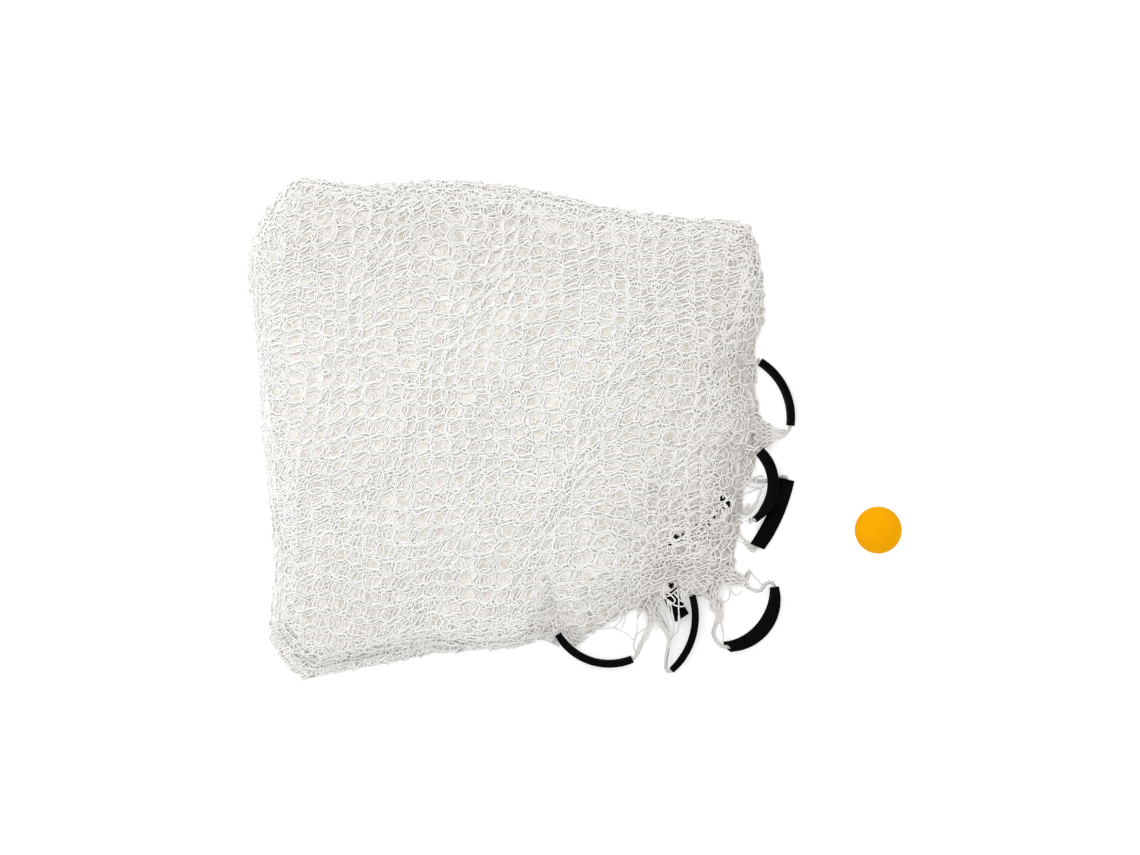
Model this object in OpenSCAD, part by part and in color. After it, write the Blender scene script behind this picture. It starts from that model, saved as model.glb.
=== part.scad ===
// Round play net with rope handles and a play ball.
// The knotless net lies folded into a square pile, and its rim, with the rope
// and the sleeve grips threaded on it, is collected along one corner.
// Units are millimetres. +Z is up, and everything rests on z = 0.

/* [Net] */
// Height of the folded net at its crown
net_h = 50; // [40:1:60]
// How far the lowest fold stands out past the others at its loose corner
shelf = 26; // [0:1:40]
// Thickness of one twine strand of the netting
twine_d = 2; // [1.2:0.1:2.4]

/* [Grips] */
// Width across the flattened sleeve
grip_w = 22; // [18:0.5:24]
// Thickness of the flattened sleeve
grip_t = 10; // [9.6:0.1:10.8]
// Wall of the sleeve
grip_wall = 1.4; // [1:0.1:1.5]

/* [Rope] */
// Diameter of the rim rope
rope_d = 6; // [4:0.5:6]

/* [Ball] */
// Diameter of the play ball
ball_d = 65; // [55:1:75]

/* [Hidden] */

net_colour = [0.93, 0.92, 0.89];
rope_colour = [0.96, 0.96, 0.95];
grip_colour = [0.08, 0.08, 0.08];
ball_colour = [1.0, 0.70, 0.02];

// ---- Folded net ----
// Centre that the folds run around, and the edge of the pile seen from above,
// anticlockwise from the first handle. Small bays keep clear of the handles.
net_c = [-92, 0];
net_edge = [
    [236, 93], [251, 115], [266, 158], [257, 236], [245, 272], [232, 286],
    [145, 291], [45, 305], [-20, 323], [-103, 337], [-201, 343], [-283, 336],
    [-334, 341], [-380, 347], [-406, 327], [-432, 294], [-449, 250], [-451, 212],
    [-436, 109], [-432, 12], [-420, -100], [-413, -211], [-424, -281],
    [-406, -314], [-380, -346], [-320, -335], [-243, -321], [-176, -308],
    [-75, -302], [-43, -289], [-24, -262], [2, -290], [35, -280], [69, -257],
    [107, -248], [145, -221], [164, -209], [186, -216], [225, -202],
    [221, -174], [230, -149], [233, -106], [236, -64], [237, -33],
    [256, -5], [257, 35], [247, 65],
];
edge_points = 72;

// Rim sections as [inset from the edge, height]. Three folded rolls stand round
// most of the pile, and the loose border rises gently behind the handles.
rolled_rim = [
    [8, 0], [1, 3], [0, 8], [3, 13], [9, 15], [5, 19], [4, 24], [8, 29],
    [15, 31], [12, 35], [15, 41], [28, 46], [70, 49],
];
loose_rim = [
    [4, 0], [0.5, 2], [0, 4], [1, 6.5], [5, 8.5], [9, 10], [13, 12], [19, 15],
    [26, 19], [34, 23], [44, 28], [58, 35], [90, 43],
];
rim_levels = len(rolled_rim);
first_shelf_level = 4;
// Rings inside the rim as [scale of the last rim ring, rolled height, loose height]
crown_rings = [[0.62, 50, 48.5], [0.28, 50, 50]];
nominal_h = 50;
// Directions from net_c between which the border is loose, and the change's width
loose_from = -90;
loose_to = 32;
loose_blend = 14;
// Direction of the corner where the lowest fold stands out, and its half width
shelf_at = -128;
shelf_reach = 34;

// ---- Handles ----
// Each sleeve is an arc: [centre x, centre y, radius, start angle, sweep,
// roll of its flat section, lift above the ground]
sleeves = [
    [208, 15, 91, -7, 65, 80, 0],
    [213, -76, 61.5, -55, 101, 60, 6.8],
    [48, -18, 251, -36, 24, 0, 0],
    [205, -230, 72, -86, 95, 57, 0],
    [67, -260, 100, -48, 65, 90, 0],
    [48, -243, 82, -150, 83, 85, 0],
    [115, -65, 100, -84, 66, 0, 10.5],
    [275, -180, 150, 169, 44, 0, 0],
];
// The rope's free points from the net to the sleeve's start, and from its end
// back to the net
rope_to_start = [
    [[263, -17, 7], [274, -15, 8], [286, -11, 9], [294, -5, 10]],
    [[240, -127, 13]],
    [[236, -156, 7], [241, -164, 6], [247, -169, 5]],
    [[190, -236, 7], [197, -250, 8], [197, -266, 8], [192, -283, 9], [200, -298, 10]],
    [[118, -262, 7], [127, -277, 7], [130, -296, 7], [127, -316, 8], [126, -330, 10],
     [129, -336, 11]],
    [[-26, -278, 9]],
];
rope_from_end = [
    [[251, 95, 9]],
    [[251, -27, 15]],
    [[292, -65, 4], [283, -66, 3.2], [270, -70, 3.2], [258, -73, 4], [248, -72, 7]],
    [[273, -213, 10], [265, -214, 9], [256, -224, 8], [244, -222, 7], [232, -213, 7]],
    [[162, -226, 10]],
    [[85, -314, 11], [91, -303, 10], [95, -291, 9], [103, -280, 8], [107, -269, 7],
     [106, -258, 7]],
];
rope_sides = 8;
rope_arc_rings = 7;

// ---- Gathered netting ----
// Each fan runs from two points on the handle's fold line to where it is
// gathered: [from, to, gathered at, height, meshes across, rows]
gathers = [
    ["net_gather_1", [260, 10], [263, -17], [290, -5], 7, 4, 3],
    ["net_gather_3", [247, -78], [241.5, -117], [261, -81], 5.2, 3, 2],
    ["net_gather_4_upper", [240, -208.6], [226, -216.3], [262, -216], 7, 2, 3],
    ["net_gather_4_lower", [210, -225], [190, -236], [198, -266], 7, 3, 4],
    ["net_gather_5", [126, -255.4], [118, -262], [129, -292], 7, 2, 3],
    ["net_gather_6", [60, -264.6], [104, -258.3], [90, -299], 7, 4, 3],
];
gather_knot = 1.5;

// ---- Ball ----
ball_at = [418.8, -140];

// ---- Functions ----
function mix(a, b, s) = a * (1 - s) + b * s;
function ramp(s) = let (c = min(1, max(0, s))) c * c * (3 - 2 * c);
function unit(v) = v / norm(v);

// A point on the smooth curve from b to c, with a and d their neighbours
function curve_point(a, b, c, d, s) =
    0.5 * (2 * b + (c - a) * s + (2 * a - 5 * b + 4 * c - d) * s * s
        + (3 * b - a - 3 * c + d) * s * s * s);
function edge_at(t) =
    let (n = len(net_edge), i = floor(t), s = t - i)
    curve_point(net_edge[(i + n - 1) % n], net_edge[i % n],
        net_edge[(i + 1) % n], net_edge[(i + 2) % n], s);

// How much of the loose border the rim has in the direction a
function looseness(a) =
    ramp((a - loose_from) / loose_blend) * ramp((loose_to - a) / loose_blend);
// How far the upper folds stand back in the direction a
function stand_back(a, level) =
    level < first_shelf_level ? 0
    : shelf * ramp(1 - abs(a - shelf_at) / shelf_reach)
        * min(1, (level - first_shelf_level + 1) / 2);

function rim_point(p, level) =
    let (u = unit(p - net_c), a = atan2(u[1], u[0]), w = looseness(a),
        step = mix(rolled_rim[level], loose_rim[level], w),
        q = p - u * (step[0] + stand_back(a, level) * (1 - w)))
    [q[0], q[1], step[1] * net_h / nominal_h];
function crown_point(p, ring) =
    let (r = rim_point(p, rim_levels - 1), u = unit(p - net_c),
        w = looseness(atan2(u[1], u[0])), c = crown_rings[ring],
        q = net_c + ([r[0], r[1]] - net_c) * c[0])
    [q[0], q[1], mix(c[1], c[2], w) * net_h / nominal_h];

// Sides between neighbouring rings of points, each ring n long
function ring_faces(rings, n) = [
    for (r = [0:rings - 2])
        for (i = [0:n - 1])
            let (a = r * n + i, b = r * n + (i + 1) % n, c = b + n, d = a + n)
            each [[a, c, b], [a, d, c]]
];
function fan_out(first, n, tip, up) = [
    for (i = [0:n - 1])
        let (a = first + i, b = first + (i + 1) % n)
        up ? [a, tip, b] : [b, tip, a]
];

function half_height(s) =
    (grip_w - grip_t) / 2 * sin(s[5]) + grip_t / 2;
function sleeve_z(s) = half_height(s) + s[6];
function sleeve_point(s, share) =
    let (a = s[3] + s[4] * share)
    [s[0] + s[2] * cos(a), s[1] + s[2] * sin(a), sleeve_z(s)];
function rope_route(i) = concat(
    rope_to_start[i],
    [for (k = [0:rope_arc_rings - 1]) sleeve_point(sleeves[i], k / (rope_arc_rings - 1))],
    rope_from_end[i]);

// A ring of points round the route at point k, square to its direction
function rope_ring(route, k) =
    let (last = len(route) - 1,
        along = unit(route[min(last, k + 1)] - route[max(0, k - 1)]),
        side = unit(cross(along, [0, 0, 1])), up = cross(side, along))
    [for (j = [0:rope_sides - 1])
        let (a = 360 * (j + 0.5) / rope_sides)
        route[k] + rope_d / 2 * (side * cos(a) + up * sin(a))];

// A mesh point of a fan: odd rows sit half a mesh along
function fan_point(g, row, i) =
    let (shift = row % 2 == 0 ? 0 : 0.5)
    mix(mix(g[1], g[2], (i + shift) / g[5]), g[3], row / (g[6] + 1));
function row_last(g, row) = row % 2 == 0 ? g[5] : g[5] - 1;

// ---- Modules ----
module folded_net() {
    edge = [for (i = [0:edge_points - 1]) edge_at(i * len(net_edge) / edge_points)];
    rim = [for (k = [0:rim_levels - 1]) for (p = edge) rim_point(p, k)];
    crown = [for (k = [0:len(crown_rings) - 1]) for (p = edge) crown_point(p, k)];
    middle = [[net_c[0], net_c[1], 0], [net_c[0], net_c[1], net_h]];
    points = concat(rim, crown, middle);
    rings = rim_levels + len(crown_rings);
    faces = concat(
        ring_faces(rings, edge_points),
        fan_out(0, edge_points, len(points) - 2, false),
        fan_out((rings - 1) * edge_points, edge_points, len(points) - 1, true));
    color(net_colour) polyhedron(points, faces);
}

module stadium(w, t) {
    square([w - t, t], center = true);
    for (side = [-1, 1])
        translate([side * (w - t) / 2, 0])
            circle(d = t, $fn = 32);
}

module grip(i) {
    s = sleeves[i - 1];
    color(grip_colour)
        translate([s[0], s[1], sleeve_z(s)])
            rotate([0, 0, s[3]])
                rotate_extrude(angle = s[4], $fn = 180)
                    translate([s[2], 0])
                        rotate(s[5])
                            difference() {
                                stadium(grip_w, grip_t);
                                stadium(grip_w - 2 * grip_wall, grip_t - 2 * grip_wall);
                            }
}

module rim_rope(i) {
    route = rope_route(i - 1);
    rings = len(route);
    body = [for (k = [0:rings - 1]) each rope_ring(route, k)];
    points = concat(body, [route[0], route[rings - 1]]);
    faces = concat(
        ring_faces(rings, rope_sides),
        fan_out(0, rope_sides, len(points) - 2, false),
        fan_out((rings - 1) * rope_sides, rope_sides, len(points) - 1, true));
    color(rope_colour) polyhedron(points, faces);
}

module strand(from, to) {
    run = to - from;
    translate(from) {
        rotate(atan2(run[1], run[0]))
            translate([0, -twine_d / 2])
                square([norm(run), twine_d]);
        circle(d = twine_d * 1.1, $fn = 16);
    }
}

module net_gather(g) {
    color(net_colour)
        translate([0, 0, g[4] - twine_d / 2])
            linear_extrude(twine_d) {
                for (row = [0:g[6] - 1])
                    for (i = [0:row_last(g, row)])
                        for (side = [-1, 0])
                            let (j = row % 2 == 0 ? i + side : i + side + 1)
                            if (j >= 0 && j <= row_last(g, row + 1))
                                strand(fan_point(g, row, i), fan_point(g, row + 1, j));
                for (i = [0:row_last(g, g[6])])
                    strand(fan_point(g, g[6], i), g[3]);
                translate(g[3])
                    circle(d = twine_d * gather_knot, $fn = 24);
            }
}

module play_ball() {
    color(ball_colour)
        translate([ball_at[0], ball_at[1], ball_d / 2])
            sphere(d = ball_d, $fn = 96);
}

folded_net();
for (i = [1:len(sleeves)])
    grip(i);
for (i = [1:len(rope_to_start)])
    rim_rope(i);
for (g = gathers)
    net_gather(g);
play_ball();
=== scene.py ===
import math

import bmesh
import bpy
import numpy as np
from mathutils import Matrix, Vector


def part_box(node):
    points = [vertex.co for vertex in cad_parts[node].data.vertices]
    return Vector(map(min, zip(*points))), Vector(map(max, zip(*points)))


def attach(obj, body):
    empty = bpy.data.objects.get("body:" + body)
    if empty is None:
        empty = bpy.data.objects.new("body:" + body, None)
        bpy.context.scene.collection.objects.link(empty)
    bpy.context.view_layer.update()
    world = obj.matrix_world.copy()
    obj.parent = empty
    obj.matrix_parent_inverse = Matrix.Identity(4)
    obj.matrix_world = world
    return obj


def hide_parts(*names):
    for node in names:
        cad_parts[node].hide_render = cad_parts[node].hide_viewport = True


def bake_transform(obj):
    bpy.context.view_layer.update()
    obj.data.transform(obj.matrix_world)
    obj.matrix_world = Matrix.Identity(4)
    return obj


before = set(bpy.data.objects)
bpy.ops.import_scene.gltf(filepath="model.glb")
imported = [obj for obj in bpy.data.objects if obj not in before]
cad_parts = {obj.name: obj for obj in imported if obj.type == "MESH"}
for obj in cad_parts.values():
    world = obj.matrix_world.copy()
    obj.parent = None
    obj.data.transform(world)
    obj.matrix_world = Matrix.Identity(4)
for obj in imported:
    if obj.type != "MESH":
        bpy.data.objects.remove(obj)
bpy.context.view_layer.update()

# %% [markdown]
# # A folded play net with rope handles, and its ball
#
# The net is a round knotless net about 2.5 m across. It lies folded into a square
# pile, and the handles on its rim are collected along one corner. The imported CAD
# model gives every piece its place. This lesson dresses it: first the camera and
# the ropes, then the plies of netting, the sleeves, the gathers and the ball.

MM = 0.001

# %% [markdown]
# ## The camera
#
# The set is seen from straight above, from far enough away that the pile's sides
# stay hidden. The frame shows 1.577 m of the floor, so at 10 m from the floor a
# 36 mm wide film needs a lens of about 228 mm.

# %% A camera straight above
VIEW_CENTRE = (-6.2 * MM, 1.4 * MM)
VIEW_WIDTH = 1.577
CAMERA_HEIGHT = 10.0

camera_data = bpy.data.cameras.new("overhead_camera")
camera_data.sensor_width = 36
camera_data.lens = camera_data.sensor_width * CAMERA_HEIGHT / VIEW_WIDTH
camera_data.clip_end = 50
camera = bpy.data.objects.new("overhead_camera", camera_data)
camera.location = (*VIEW_CENTRE, CAMERA_HEIGHT)
bpy.context.scene.collection.objects.link(camera)
bpy.context.scene.camera = camera
print(f"lens {camera_data.lens:.1f} mm")

# %% [markdown]
# ## Materials
#
# The twine is bleached polyester: white, soft and a little fuzzy. It comes in four
# whites, for the upper plies, the deeper ones, the gathers and the rope; the deeper
# plies' and the gathers' greyer whites are painted shade. Plies that lie deeper still
# are the same netting seen through its own holes, so their material paints fainter
# meshes on a ground made greyer as painted shade. The sleeves are black foam rubber,
# and the ball is matte rubber. Each material reads Object coordinates, so that it
# stays put when a piece is moved by a joint.


# %% Helpers that build a material's nodes
def set_inputs(node, values):
    """Gives a node's inputs their values. A value that is a socket is linked."""
    for key, value in values.items():
        if isinstance(value, bpy.types.NodeSocket):
            node.id_data.links.new(value, node.inputs[key])
        else:
            node.inputs[key].default_value = value


def add_node(tree, kind, values, **settings):
    """A new shader node of that kind. Its settings come before its inputs."""
    node = tree.nodes.new("ShaderNode" + kind)
    for key, value in settings.items():
        setattr(node, key, value)
    set_inputs(node, values)
    return node


def start_material(name, colour, roughness):
    """A material, its node tree, its Principled shader and its Object coordinates."""
    material = bpy.data.materials.new(name)
    material.use_nodes = True
    tree = material.node_tree
    shader = tree.nodes["Principled BSDF"]
    set_inputs(shader, {"Base Color": (*colour, 1), "Roughness": roughness})
    return material, tree, shader, add_node(tree, "TexCoord", {}).outputs["Object"]


def add_noise(tree, place, scale, detail=2.0):
    """Soft noise of one scale, in cells for each metre."""
    values = {"Vector": place, "Scale": scale, "Detail": detail}
    return add_node(tree, "TexNoise", values).outputs["Fac"]


def add_ramp(tree, value, stops):
    """A colour ramp with stops given as (position, colour)."""
    ramp = add_node(tree, "ValToRGB", {"Fac": value})
    elements = ramp.color_ramp.elements
    while len(elements) < len(stops):
        elements.new(0.5)
    for element, (position, colour) in zip(elements, stops):
        element.position = position
        element.color = (*colour, 1)
    return ramp.outputs["Color"]


def add_range(tree, value, before, after, kind="SMOOTHSTEP"):
    """Moves a value from one range to another, smoothly or in a straight line."""
    values = dict(zip(("From Min", "From Max", "To Min", "To Max"), (*before, *after)))
    values["Value"] = value
    return add_node(tree, "MapRange", values, interpolation_type=kind).outputs["Result"]


def add_math(tree, operation, *values):
    """One step of arithmetic on sockets and plain numbers."""
    return add_node(tree, "Math", dict(enumerate(values)), operation=operation).outputs[0]


def add_mix(tree, blend, factor, first, second):
    """A socket's colour mixed with a plain colour, by a factor."""
    values = {"Factor": factor, "A": first, "B": (*second, 1)}
    return add_node(tree, "Mix", values, data_type="RGBA", blend_type=blend).outputs["Result"]


def add_bump(tree, shader, height, strength, distance):
    """A bump from a height value, in metres of depth."""
    values = {"Strength": strength, "Distance": distance, "Height": height}
    set_inputs(shader, {"Normal": add_node(tree, "Bump", values).outputs["Normal"]})


# %% Shade at the rim
HANDLE_CORNER, CORNER_REACH = (0.19, -0.18, 0.02), (0.05, 0.20)  # metres
SHADED_SIDES = [  # axis, where the shade starts and is full, in metres, and how much it is
    ("X", (0.02, 0.25), 0.75), ("Y", (0.13, 0.30), 0.5), ("Y", (-0.14, -0.30), 0.35),
]


def rim_shade(tree, place):
    """How much painted shade: 0 over the pile's middle, up to 1 at its right rim, its far folds and
    the handles.
    """
    corner = add_node(tree, "VectorMath", {0: place, 1: HANDLE_CORNER}, operation="DISTANCE")
    sides = add_node(tree, "SeparateXYZ", {0: place}).outputs
    shade = add_range(tree, corner.outputs["Value"], CORNER_REACH, (1.0, 0.0))
    for axis, before, most in SHADED_SIDES:
        side = add_range(tree, sides[axis], before, (0.0, most))
        shade = add_math(tree, "MAXIMUM", shade, side)
    return shade, sides["X"]


# %% Twine and rope
# Painted shade: the twine is multiplied by this colour at the pile's right rim, far folds and
# handle corner.
TWINE_IN_SHADE = (0.92, 0.905, 0.885)


def twine_material(name, dark, light):
    """White fibres in darker and lighter patches, with painted shade making them a little greyer at
    the rim.
    """
    material, tree, shader, place = start_material(name, light, 0.75)
    patches = add_ramp(tree, add_noise(tree, place, 30), [(0.3, dark), (0.7, light)])
    shade = rim_shade(tree, place)[0]
    set_inputs(shader, {
        "Base Color": add_mix(tree, "MULTIPLY", shade, patches, TWINE_IN_SHADE),
        "Sheen Weight": 0.15,
        "Sheen Roughness": 0.6,
        "Subsurface Weight": 0.5,
        "Subsurface Radius": (1.0, 1.0, 1.0),
        "Subsurface Scale": 0.0015,
    })
    add_bump(tree, shader, add_noise(tree, place, 2500), 0.25, 0.0003)
    return material


twine_white = twine_material("twine_white", (0.96, 0.949, 0.925), (0.99, 0.98, 0.96))
# A darker copy of the white twine for plies over 3 mm deep, as painted shade for their depth.
twine_deep_shaded = twine_material("twine_deep_shaded", (0.90, 0.885, 0.85), (0.95, 0.938, 0.91))
# The gathers' twine, painted greyer as shade where it is pulled in by the sleeves.
twine_gather_shaded = twine_material("twine_gather_shaded", (0.70, 0.685, 0.665), (0.88, 0.865, 0.845))
rope_white = twine_material("rope_white", (0.74, 0.73, 0.71), (0.86, 0.85, 0.835))
print("twine materials:", twine_white.name, twine_deep_shaded.name, twine_gather_shaded.name, rope_white.name)

# %% [markdown]
# The twines of the upper plies drift to and fro on shared waves, because the plies
# were pushed together. The ground below them gets painted shade, darkest in the middle
# of each opening, where the light falls deepest into the pile. So the ground's material
# repeats the same waves, to know where the openings are.


# %% Openings between the twines
PILE_CENTRE = np.array([-92.0, 0.0]) * MM
MESH_WIDTH, MESH_HEIGHT = 15.8 * MM, 16.0 * MM  # from twine to twine, and half a swing
NET_TURN = 44.5  # degrees, of most plies on the pile
SHARED_DRIFT = (1, 7 * MM, (0.31, 0.17, 0.23, 0.12))  # seed, size and wave lengths


def drift_waves(seed, lengths):
    """Waves of the given lengths, in metres: moved axis, pace, direction and phase."""
    rng = np.random.default_rng(seed)
    return [
        (axis, 2 * math.pi / length, *rng.uniform(0, 2 * math.pi, 2))
        for length in lengths for axis in range(2)
    ]


def add_openings(tree, place):
    """1 in the middle of each opening of the uppermost plies, where the ground gets its painted
    shade, and 0 at their twine.
    """
    turn, (x, y) = math.radians(NET_TURN), PILE_CENTRE
    cosine, sine = math.cos(turn), math.sin(turn)
    lay = add_node(tree, "Mapping", {
        "Vector": place,
        "Rotation": (0, 0, -turn),
        "Location": (-x * cosine - y * sine, x * sine - y * cosine, 0),
    }).outputs["Vector"]
    spots = list(add_node(tree, "SeparateXYZ", {0: lay}).outputs)
    seed, size, lengths = SHARED_DRIFT
    for axis, pace, angle, phase in drift_waves(seed, lengths):
        heading = (pace * math.cos(angle), pace * math.sin(angle), 0)
        along = add_node(tree, "VectorMath", {0: lay, 1: heading}, operation="DOT_PRODUCT")
        wave = add_math(tree, "SINE", add_math(tree, "ADD", along.outputs["Value"], phase))
        back = add_math(tree, "MULTIPLY", wave, -size / math.sqrt(len(lengths)))
        spots[axis] = add_math(tree, "ADD", spots[axis], back)
    across = add_math(tree, "SINE", add_math(tree, "MULTIPLY", spots[0], math.pi / MESH_WIDTH))
    up = add_math(tree, "COSINE", add_math(tree, "MULTIPLY", spots[1], math.pi / MESH_HEIGHT))
    product = add_math(tree, "MULTIPLY", across, up)
    return add_range(tree, product, (-0.05, -0.65), (0.0, 1.0))


# %% Netting seen through netting
# Painted shade: the plies' ground is greyer than the twine for the shade deep in the pile, and
# PLY_IN_SHADE darkens it further at the right rim and by the handles.
PLY_GROUND, PLY_IN_SHADE = (0.865, 0.847, 0.81), (0.50, 0.47, 0.435)
# Painted light: the plies' ground turns paler towards the left fold.
PLY_LIT_AT_LEFT, LEFT_FOLD = (0.98, 0.975, 0.965), (-0.43, -0.385)
# Painted shade: HOLLOW_SHADE darkens the ground in the middle of each opening.
PLY_LINES, HOLLOW_SHADE = (0.91, 0.895, 0.86), (0.82, 0.79, 0.735)


def add_mesh_lines(tree, place, scale, width):
    """Lines round cells, as the twine of a deeper ply."""
    values = {"Vector": place, "Scale": scale, "Randomness": 0.55}
    cells = add_node(tree, "TexVoronoi", values, feature="DISTANCE_TO_EDGE")
    return add_range(tree, cells.outputs["Distance"], (0.02, width), (1.0, 0.0))


def film_material(name):
    """Plies below the twine: painted shade at the right rim and near the handles, painted light at
    the left.
    """
    material, tree, shader, place = start_material(name, PLY_GROUND, 0.85)
    wide, narrow = add_mesh_lines(tree, place, 62, 0.16), add_mesh_lines(tree, place, 95, 0.10)
    lines = add_math(tree, "MAXIMUM", wide, narrow)
    shade, across = rim_shade(tree, place)
    # Painted light: the ground turns paler towards the left fold.
    left = add_range(tree, across, LEFT_FOLD, (1.0, 0.0))
    balance = add_math(tree, "SUBTRACT", shade, left)
    balance = add_range(tree, balance, (-1.0, 1.0), (0.0, 1.0), "LINEAR")
    tone = add_ramp(
        tree, balance, [(0.0, PLY_LIT_AT_LEFT), (0.5, PLY_GROUND), (1.0, PLY_IN_SHADE)]
    )
    in_light = add_range(tree, shade, (0.0, 1.0), (1.0, 0.4))
    # Painted shade in each opening, weaker where the rim is already shaded.
    hollow = add_math(tree, "MULTIPLY", add_openings(tree, place), in_light)
    tone = add_mix(tree, "MULTIPLY", hollow, tone, HOLLOW_SHADE)
    faint = add_range(tree, lines, (0, 1), (0.0, 0.5))
    set_inputs(shader, {"Base Color": add_mix(tree, "MIX", faint, tone, PLY_LINES)})
    add_bump(tree, shader, lines, 0.6, 0.001)
    return material


ply_fill = film_material("ply_fill")
print("ply material:", ply_fill.name)


# %% Foam rubber and ball rubber
def rubber_material(name, colour, specular, patches, stops, grain, strength):
    """Matte rubber in two close tones, laid by noise of a scale and detail, with a grain."""
    material, tree, shader, place = start_material(name, colour, 0.7)
    tone = add_ramp(tree, add_noise(tree, place, *patches), stops)
    set_inputs(shader, {"Base Color": tone, "Specular IOR Level": specular})
    add_bump(tree, shader, add_noise(tree, place, grain, 3), strength, 0.0004)
    return material


foam_black = rubber_material(
    "foam_black", (0.002, 0.002, 0.002), 0.03, (45, 4),
    [(0.35, (0.0012, 0.0012, 0.0013)), (0.75, (0.0035, 0.0035, 0.0037))], 900, 0.5,
)
ball_rubber = rubber_material(
    "ball_rubber", (0.885, 0.38, 0.0), 0.02, (22, 3),
    [(0.3, (0.86, 0.368, 0.0)), (0.7, (0.91, 0.392, 0.0))], 1400, 0.35,
)
print("rubbers:", foam_black.name, ball_rubber.name)

# %% [markdown]
# ## Twine, from a route to a tube
#
# All the twine, rope strands and loops are round tubes along routes. A curve object
# with a bevel is the handiest way to sweep a circle along many routes at once, and
# the result is then kept as one mesh at the origin.


# %% Helpers that finish a piece
def finish_piece(name, mesh, material, body):
    """Links a mesh as a finished piece at the origin, riding on a body if one is named."""
    piece = bpy.data.objects.new(name, mesh)
    bpy.context.scene.collection.objects.link(piece)
    mesh.materials.append(material)
    mesh.shade_smooth()
    if body:
        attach(piece, body)
    return piece


def mesh_of(bm, name):
    """Keeps what a bmesh holds as a mesh, and frees it."""
    mesh = bpy.data.meshes.new(name)
    bm.to_mesh(mesh)
    bm.free()
    return mesh


# %% Twine swept along many routes
def sweep_twine(name, routes, thickness, material, body="net", roundness=0):
    """One piece of round twine of that thickness along routes in metres."""
    curve = bpy.data.curves.new(name, "CURVE")
    curve.dimensions = "3D"
    curve.bevel_depth = thickness / 2
    curve.bevel_resolution = roundness
    curve.use_fill_caps = True
    for route in routes:
        spline = curve.splines.new("POLY")
        spline.points.add(len(route) - 1)
        rows = np.ones((len(route), 4), np.float32)
        rows[:, :3] = route
        spline.points.foreach_set("co", rows.ravel())
    holder = bpy.data.objects.new(name, curve)
    mesh = bpy.data.meshes.new_from_object(holder)
    bpy.data.objects.remove(holder)
    bpy.data.curves.remove(curve)
    mesh.name = name
    return finish_piece(name, mesh, material, body)


# %% Smooth routes and their lengths
def smooth_route(points, step):
    """Points about one step apart on the smooth curve through the given points."""
    knots = np.asarray(points, float)
    ends = [2 * knots[0] - knots[1], *knots, 2 * knots[-1] - knots[-2]]
    out = []
    for a, b, c, d in zip(ends, ends[1:], ends[2:], ends[3:]):
        parts = max(1, round(np.linalg.norm(c - b) / step))
        for s in np.arange(parts)[:, None] / parts:
            out.append(
                0.5 * (2 * b + (c - a) * s + (2 * a - 5 * b + 4 * c - d) * s**2
                       + (3 * b - a - 3 * c + d) * s**3)
            )
    return np.vstack([*out, knots[-1:]])


def flat_route(points, step):
    """The smooth curve through points given by x and y alone, at height 0."""
    return smooth_route([(*p, 0) for p in points], step)


def run_along(points):
    """Distance along a line of points, from its first one to each of them."""
    return np.concatenate([[0], np.cumsum(np.linalg.norm(np.diff(points, axis=0), axis=1))])


def between_rows(at, places, rows):
    """Rows of a table that belong to places, found at other places between them."""
    return np.column_stack([np.interp(at, places, column) for column in rows.T])


def unit_frame(along):
    """For each direction: itself, one level to its side, and one upward, all of length 1."""
    along = along / np.linalg.norm(along, axis=-1, keepdims=True)
    side = np.cross(along, (0, 0, 1))
    side /= np.linalg.norm(side, axis=-1, keepdims=True)
    return along, side, np.cross(side, along)


def triangles(piece):
    """Number of triangles in a piece."""
    return sum(len(p.vertices) - 2 for p in piece.data.polygons)


# %% [markdown]
# ## The rim rope
#
# One braided rope runs round the net's rim, through the meshes and through the
# sleeves. Six stretches of it are free. Each leaves the net, passes through its
# sleeve and goes back into the net. The routes are the ones that the CAD ropes
# follow, in millimetres. The rope is made from eight strands, four turning each
# way, that pass over and under each other.

# %% Where the sleeves and the free rope lie, in millimetres
SLEEVES = [  # centre x and y, radius, start angle, sweep, roll, lift
    (208, 15, 91, -7, 65, 80, 0),
    (213, -76, 61.5, -55, 101, 60, 6.8),
    (48, -18, 251, -36, 24, 0, 0),
    (205, -230, 72, -86, 95, 57, 0),
    (67, -260, 100, -48, 65, 90, 0),
    (48, -243, 82, -150, 83, 85, 0),
    (115, -65, 100, -84, 66, 0, 10.5),
    (275, -180, 150, 169, 44, 0, 0),
]
SLEEVE_WIDTH, SLEEVE_THICKNESS, SLEEVE_WALL = 22, 10, 1.4
SLEEVE_BENDS = [  # extra roll at start, middle and end, the share of width left at both
    # ends, and how far the start's cut is moved in at its inner and outer side
    (0, 0, 0, 0.9, 0.9, 0, 0),
    (25, 0, 0, 0.55, 0.9, -1, 2), (0, 0, 0, 0.95, 1.0, 0, 5), (0, -32, 14, 0.9, 0.9, -4, 6),
    (0, 0, 0, 0.6, 0.9, 0, 0), (0, 0, 0, 0.75, 0.9, 0, 0), (0, 0, 0, 1.0, 1.0, 0, 0),
    (0, 0, 0, 1.0, 1.0, 0, 0),
]
ROPE_TO_SLEEVE = [  # x, y and height, from the net to each sleeve's start
    [(263, -17, 7), (274, -15, 8), (286, -11, 9), (294, -5, 10)],
    [(240, -127, 13)],
    [(236, -156, 7), (241, -164, 6), (247, -169, 5)],
    [(190, -236, 7), (197, -250, 8), (197, -266, 8), (192, -283, 9), (200, -298, 10)],
    [(118, -262, 7), (127, -277, 7), (130, -296, 7), (127, -316, 8), (126, -330, 10),
     (129, -336, 11)],
    [(-26, -278, 9)],
]
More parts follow.
